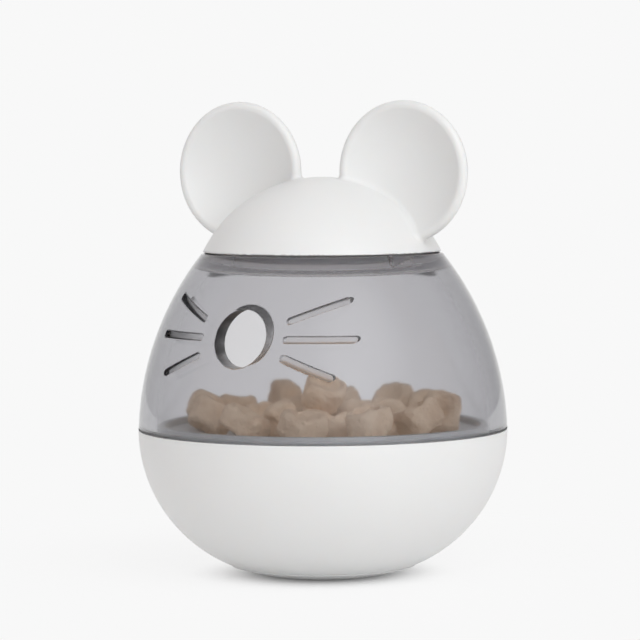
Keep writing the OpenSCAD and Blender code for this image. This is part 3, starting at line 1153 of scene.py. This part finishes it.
class MOUSE_OT_dome(bpy.types.Operator):
    """Skins the smoky dome with its nose hole, whiskers, collar and pin tracks"""

    bl_idname = "mouse_toy.dome"
    bl_label = "Make dome"

    def execute(self, context):
        form = form_of(context)
        body, dome, lock = form.toy.body, form.toy.dome, form.toy.lock
        fan = self.whiskers(dome)
        collar_z = body.rim_z - dome.collar_h
        collar_edge_r, collar_root_r = 0.0003, 0.0004
        mouth_edge_r, track_edge_r = 0.0002, 0.0002
        groove_edge_r, groove_root_r = 0.00012, 0.0003
        track_back = 0.6

        def shape(points):
            x, y, z = points.T
            rho = np.hypot(x, y)
            around = np.hypot(rho - form.side_c[0], z - form.side_c[1])
            outside = around - body.side_r
            inside = body.side_r - dome.wall - around
            collar = common(form.mouth_r - rho, collar_z - z, collar_edge_r)
            solid = np.maximum(outside, fused(inside, collar, collar_root_r))
            solid = common(solid, z - body.rim_z, dome.edge_r)
            solid = common(solid, body.seam_z - z, dome.edge_r)
            mouth = np.maximum(rho - form.mouth_r, collar_z - z)
            solid = cut(solid, mouth, mouth_edge_r)
            theta = np.arctan2(y, x)
            for i in range(lock.pin_n):
                turned_by = theta - lock.pin_angle - 2 * math.pi * i / lock.pin_n - form.track_from
                ahead = np.mod(turned_by + track_back, 2 * math.pi) - track_back + form.track_from
                rise = z - form.pin_z - lock.lead * ahead / (2 * math.pi)
                slot = np.abs(rise) * math.cos(form.track_slope) - form.track_half
                slot = np.maximum(slot, (form.track_from - ahead) * form.mouth_r)
                slot = np.maximum(slot, (ahead - form.track_to) * form.mouth_r)
                solid = cut(solid, np.maximum(slot, rho - form.track_r), track_edge_r)
            up = z - dome.nose_z
            nose = np.maximum(np.hypot(x, up) - dome.nose_d / 2, y)
            solid = cut(solid, nose, dome.nose_edge_r)
            for start, run in fan:
                away_x, away_z = x - start[0], up - start[1]
                along = np.clip((away_x * run[0] + away_z * run[1]) / (run @ run), 0, 1)
                line = np.hypot(away_x - along * run[0], away_z - along * run[1]) - dome.whisker_w / 2
                groove = common(np.maximum(line, y), -outside - dome.whisker_depth, groove_root_r)
                solid = cut(solid, groove, groove_edge_r)
            return solid

        most_move = 0.0004
        finish = kept_finish("smoky_clear_plastic", smoky_plastic_finish, context)
        piece = skinned("smoky_dome", shape, self.grid(form), True, most_move, finish)
        self.mark_matt(form, piece.data)
        settle_on(piece, "base", "dome")
        return {"FINISHED"}

    def whiskers(self, dome):
        """Near end and run of each groove's middle line, across and up from the nose's middle."""
        fan = []
        for mirror in (-1, 1):
            for slant in (-1, 0, 1):
                start = np.array([mirror * dome.whisker_x, slant * dome.whisker_rise])
                run = dome.whisker_side_len if slant else dome.whisker_mid_len
                angle = slant * dome.whisker_angle
                fan.append((start, np.array([mirror * math.cos(angle), math.sin(angle)]) * run))
        return fan

    def grid(self, form):
        """Places round the axis, up the side and into the wall, closer together over the face and edges."""
        body = form.toy.body
        fine, coarse = ((0.00034, 0.0016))
        seam_step, side_step, rim_step = 0.0002, 0.0009, 0.00034
        wall_step, collar_step = 0.0003, 0.00045
        over_skin, over_rim = 0.00016, 0.0005
        seam_top = body.seam_z + 0.0034
        face_low, face_top = 0.0485, 0.0705
        wall_depth, collar_depth = 0.0055, 0.0115
        face, back = math.radians(46), 4.7
        back_n = int(back * form.body_r / coarse)
        near = np.arange(-face, face, fine / form.body_r)
        behind = np.linspace(face, 2 * math.pi - face, back_n, endpoint=False)
        angles = np.concatenate([near, behind])
        heights = np.concatenate([
            np.arange(body.seam_z - seam_step, seam_top, seam_step),
            np.arange(seam_top, face_low, side_step),
            np.arange(face_low, face_top, fine),
            np.arange(face_top, body.rim_z + over_rim, rim_step),
        ])
        depths = np.concatenate([
            np.arange(-over_skin, wall_depth, wall_step),
            np.arange(wall_depth, collar_depth, collar_step),
        ])
        wide = form.side_x(heights)[:, None] - depths
        places = np.empty((len(angles),) + wide.shape + (3,))
        places[..., 0] = np.sin(angles)[:, None, None] * wide
        places[..., 1] = -np.cos(angles)[:, None, None] * wide
        places[..., 2] = heights[:, None]
        return places

    def mark_matt(self, form, mesh):
        """Marks the nose hole, grooves and seam, whose faces are matt, and the collar, which is more so."""
        body, dome = form.toy.body, form.toy.dome
        outer_skin, inner_skin, nose_gap, band = 0.00015, 0.001, 0.0001, 0.0006
        collar_more = 0.85
        spots = np.empty(len(mesh.vertices) * 3)
        mesh.vertices.foreach_get("co", spots)
        x, y, z = spots.reshape(-1, 3).T
        deep = body.side_r - np.hypot(np.hypot(x, y) - form.side_c[0], z - form.side_c[1])
        collar_z = body.rim_z - dome.collar_h
        in_nose = np.hypot(x, z - dome.nose_z) < dome.nose_d / 2 + nose_gap
        in_groove = (deep > outer_skin) & (deep < dome.wall - inner_skin) & (z < collar_z)
        in_collar = (deep > band) & (z > collar_z - band)
        at_seam = z < body.seam_z + band
        cuts = ((in_nose | in_groove) & (y < 0)) | in_collar | at_seam
        matt = mesh.attributes.new(MATT_CUT, "FLOAT", "POINT")
        matt.data.foreach_set("value", (cuts + collar_more * in_collar).astype(np.float32))


class MOUSE_OT_seal(bpy.types.Operator):
    """Turns the soft ring between the dome and the cap"""

    bl_idname = "mouse_toy.seal"
    bl_label = "Make seal"

    def execute(self, context):
        form = form_of(context)
        body, cap = form.toy.body, form.toy.cap
        outer = form.skirt_r + cap.seal_w
        inner = form.skirt_r + body.press_gap
        half = cap.seal_t / 2
        middle = form.seal_z + half
        corner, flat = half * 0.6, half * 0.4
        profile = bend((outer - half, middle), half, -90, 90, 10)
        profile += bend((inner + corner, middle + flat), corner, 90, 180, 4)
        profile += bend((inner + corner, middle - flat), corner, 180, 270, 4)
        finish = kept_finish("soft_grey_rubber", rubber_finish, context)
        ring = turned("cap_seal_ring", profile, finish, closed=True)
        settle_on(ring, "seal", "cap_seal")
        return {"FINISHED"}


class MOUSE_OT_cap(bpy.types.Operator):
    """Skins the white cap with its ears, skirt and pins"""

    bl_idname = "mouse_toy.cap"
    bl_label = "Make cap"

    def execute(self, context):
        form = form_of(context)
        body, cap, lock = form.toy.body, form.toy.cap, form.toy.lock
        pin_edge_r, pin_root_r = 0.0002, 0.0001
        hollow_edge_r, inner_edge_r = 0.0004, 0.00015
        bore_over = 0.0005

        def ear(x, y, z):
            rho = np.hypot(x, z)
            from_lip = np.hypot(rho - form.lip_c[0], y - form.lip_c[1])
            back = np.hypot(rho, y - form.back_c[1]) - form.back_r
            dish = form.ear_dish_r - np.hypot(rho, y - form.front_c[1])
            heading = np.arctan2(y - form.lip_c[1], rho - form.lip_c[0])
            start = math.atan2(form.lip_c[1] - form.back_c[1], form.lip_c[0])
            end = math.atan2(form.front_c[1] - form.lip_c[1], -form.lip_c[0])
            past = np.mod(heading - start, 2 * math.pi) < np.mod(end - start, 2 * math.pi)
            return np.where(past, np.maximum(back, dish), from_lip - cap.lip_r)

        def shape(points):
            x, y, z = points.T
            rho = np.hypot(x, y)
            from_middle = np.hypot(rho, z - form.crown_z + form.cap_r)
            solid = common(from_middle - form.cap_r, form.cap_z - z, cap.edge_r)
            for side in (-1, 1):
                one = ear(x - side * cap.ear_x, y - cap.ear_y, z - form.ear_z)
                solid = fused(solid, one, cap.root_r)
            skirt = common(rho - form.skirt_r, form.skirt_z - z, cap.edge_r)
            skirt = np.maximum(skirt, z - form.cap_z - cap.flange_t / 2)
            for i in range(lock.pin_n):
                angle = lock.pin_angle + 2 * math.pi * i / lock.pin_n
                along = x * math.cos(angle) + y * math.sin(angle)
                across = y * math.cos(angle) - x * math.sin(angle)
                pin = np.hypot(across, z - form.pin_z) - lock.pin_d / 2
                pin = common(pin, along - form.pin_end, pin_edge_r)
                skirt = fused(skirt, np.maximum(pin, form.skirt_r - cap.skirt_t - along), pin_root_r)
            solid = np.minimum(solid, skirt)
            under = form.cap_z + cap.flange_t - z
            hollow = common(from_middle - form.cap_r + cap.wall, under, hollow_edge_r)
            bore = np.maximum(rho - form.skirt_r + cap.skirt_t, -under - bore_over)
            seat = np.maximum(form.skirt_r - rho, rho - form.skirt_r - cap.seal_w - body.play)
            seat = np.maximum(seat, np.maximum(z - form.seat_z, body.rim_z - z))
            return cut(solid, np.minimum(np.minimum(hollow, bore), seat), inner_edge_r)

        cell = 0.00046
        before, past_end = 0.0009, 0.0014
        low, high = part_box("cap")
        axes = [np.arange(low[i] - before, high[i] + past_end, cell) for i in range(3)]
        places = np.stack(np.meshgrid(*axes, indexing="ij"), -1)
        finish = kept_finish("white_satin_plastic", white_plastic_finish, context)
        piece = skinned("eared_cap", shape, places, False, cell, finish)
        settle_on(piece, "cap", "cap")
        return {"FINISHED"}


class MOUSE_OT_stage(bpy.types.Operator):
    """Sets the floor, the soft studio light and the camera"""

    bl_idname = "mouse_toy.stage"
    bl_label = "Make stage"

    def execute(self, context):
        stage = context.scene.mouse_toy.stage
        level = Vector((math.sin(stage.azimuth), -math.cos(stage.azimuth), 0.0))
        right = Vector((math.cos(stage.azimuth), math.sin(stage.azimuth), 0.0))
        towards = level * math.cos(stage.elevation) + Vector((0, 0, math.sin(stage.elevation)))
        aim = Vector((0.0, 0.0, stage.aim_z)) - right * stage.aim_left
        lens = bpy.data.cameras.new("studio_camera")
        lens.sensor_width = 36.0
        lens.lens = stage.focal
        lens.clip_start = 0.01
        lens.clip_end = 50.0
        camera = in_scene("studio_camera", lens)
        facing = towards.to_track_quat("Z", "Y").to_matrix().to_4x4()
        rolled = facing @ Matrix.Rotation(-stage.roll, 4, "Z")
        camera.matrix_world = Matrix.Translation(aim + towards * stage.distance) @ rolled
        context.scene.camera = camera
        up = Vector((0, 0, 1))
        key_spot = right * 0.5 + level * 0.95 + up * 0.75
        front_spot = right * 0.3 + level * 1.1 + up * 0.1
        key_size, front_size = 2.0, 1.4
        self.lamp(stage, "key_lamp", key_spot, key_size, stage.key)
        self.lamp(stage, "front_lamp", front_spot, front_size, stage.front)
        self.world(context, stage)
        self.floor(stage)
        context.scene.view_settings.view_transform = "Standard"
        return {"FINISHED"}

    def lamp(self, stage, name, spot, size, watts):
        """A square lamp with soft edges that looks at the toy's middle."""
        edge_gain = 2.9
        toy_middle = Vector((0, 0, 0.05))
        light = bpy.data.lights.new(name, "AREA")
        light.shape = "SQUARE"
        light.size = size
        light.energy = watts
        light.color = stage.lamp_tone
        board = cleared(light)
        spread = board.out(board.node("ShaderNodeNewGeometry"), "Parametric")
        across, along = (part * 2.0 - 1.0 for part in board.parts(spread)[:2])
        fall = ((across * across + along * along) ** 0.5).ramp(1.0, 0.15)
        glow = board.node("ShaderNodeEmission", None, {"Strength": fall * edge_gain})
        board.node("ShaderNodeOutputLight", None, {"Surface": glow.outputs[0]})
        turn_to = (spot - toy_middle).to_track_quat("Z", "Y").to_matrix().to_4x4()
        in_scene(name, light).matrix_world = Matrix.Translation(spot) @ turn_to

    def seen(self, board):
        """1 for rays that see the background itself, directly, mirrored or through the dome."""
        path = board.node("ShaderNodeLightPath")
        flags = [board.out(path, key) for key in ("Is Camera Ray", "Is Glossy Ray", "Is Transmission Ray")]
        return (flags[0] + flags[1] + flags[2]).at_most(1.0)

    def world(self, context, stage):
        """White backdrop all round, soft light from it, and grey cards at both sides that edge the dome."""
        world = bpy.data.worlds.new("studio_light")
        board = cleared(world)
        path = board.node("ShaderNodeLightPath")
        mirrored = board.out(path, "Is Glossy Ray") * (1.0 - board.out(path, "Is Transmission Ray"))
        heading = board.out(board.node("ShaderNodeTexCoord"), "Generated")
        right = (math.cos(stage.azimuth), math.sin(stage.azimuth), 0.0)
        aside = board.node("ShaderNodeVectorMath", {"operation": "DOT_PRODUCT"}, {0: heading, 1: right})
        aside = board.out(aside, "Value")
        card_from, card_to, left_share = 0.2, 0.75, 0.7
        cards = aside.ramp(card_from, card_to) + left_share * aside.ramp(-card_from, -card_to)
        bright = stage.paper * (1.0 - stage.cards * cards * mirrored)
        white = (1.0, 1.0, 1.0, 1.0)
        tone = opaque(stage.sky_tone)
        paper = board.node("ShaderNodeBackground", None, {"Color": white, "Strength": bright})
        sky = board.node("ShaderNodeBackground", None, {"Color": tone, "Strength": stage.sky})
        mixed = board.mixed(self.seen(board), sky, paper)
        board.node("ShaderNodeOutputWorld", None, {"Surface": mixed})
        context.scene.world = world

    def floor(self, stage):
        """A pale floor that keeps the toy's shadow near its foot and fades into the backdrop."""
        shade_r, fade_r, clear_r = 0.01, 0.034, 0.12
        first_r, growth, ring_n = 0.02, 1.35, 18
        finish, board = blank_finish("pale_floor")
        place = board.place()
        grain = board.noise(place, 900.0, 2.0)
        radius = board.from_axis(place)
        pale = (stage.floor_tone,) * 3
        tone = board.blend(opaque(pale, 0.995), opaque(pale, 1.005), grain)
        matt = board.node("ShaderNodeBsdfDiffuse", None, {"Color": tone, "Roughness": 0.5})
        paper = (stage.paper, stage.paper, stage.paper, 1.0)
        glow = board.node("ShaderNodeEmission", None, {"Color": paper, "Strength": 1.0})
        away = 0.05 + 0.85 * radius.ramp(shade_r, fade_r) + 0.1 * radius.ramp(fade_r, clear_r)
        mixed = board.mixed(away * self.seen(board), matt, glow)
        board.node("ShaderNodeOutputMaterial", None, {"Surface": mixed})
        rings = [0.0] + [first_r * growth**i for i in range(ring_n)]
        floor = turned("studio_floor", [(r, 0.0) for r in rings], finish, steps=96)
        if floor.data.polygons[0].normal.z < 0:
            floor.data.flip_normals()


class MOUSE_PT_toy(bpy.types.Panel):
    """Lists the makers of the toy's pieces and their sizes"""

    bl_label = "Mouse toy"
    bl_idname = "MOUSE_PT_toy"
    bl_space_type = "VIEW_3D"
    bl_region_type = "UI"
    bl_category = "Mouse toy"

    def draw(self, context):
        toy = context.scene.mouse_toy
        for maker, groups in PIECES:
            box = self.layout.box()
            box.operator(maker.bl_idname)
            for group in groups:
                sizes = getattr(toy, group)
                for name in sizes.__annotations__:
                    box.prop(sizes, name)


PIECES = (
    (MOUSE_OT_base, ("body", "base")),
    (MOUSE_OT_floor, ()),
    (MOUSE_OT_weight, ("weight",)),
    (MOUSE_OT_treats, ("treats",)),
    (MOUSE_OT_dome, ("dome",)),
    (MOUSE_OT_seal, ()),
    (MOUSE_OT_cap, ("cap", "lock")),
    (MOUSE_OT_stage, ("finishes", "stage")),
)
GROUPS = (
    BodySizes,
    BaseSizes,
    WeightSizes,
    DomeSizes,
    CapSizes,
    LockSizes,
    TreatSizes,
    Finishes,
    StageSizes,
    MouseToy,
)


def register():
    for group in GROUPS:
        bpy.utils.register_class(group)
    for maker, _ in PIECES:
        bpy.utils.register_class(maker)
    bpy.utils.register_class(MOUSE_PT_toy)
    bpy.types.Scene.mouse_toy = PointerProperty(type=MouseToy)


def unregister():
    del bpy.types.Scene.mouse_toy
    bpy.utils.unregister_class(MOUSE_PT_toy)
    for maker, _ in reversed(PIECES):
        bpy.utils.unregister_class(maker)
    for group in reversed(GROUPS):
        bpy.utils.unregister_class(group)


def main():
    register()
    bpy.ops.mouse_toy.base()
    bpy.ops.mouse_toy.floor()
    bpy.ops.mouse_toy.weight()
    bpy.ops.mouse_toy.treats()
    bpy.ops.mouse_toy.dome()
    bpy.ops.mouse_toy.seal()
    bpy.ops.mouse_toy.cap()
    bpy.ops.mouse_toy.stage()


if __name__ == "__main__":
    main()
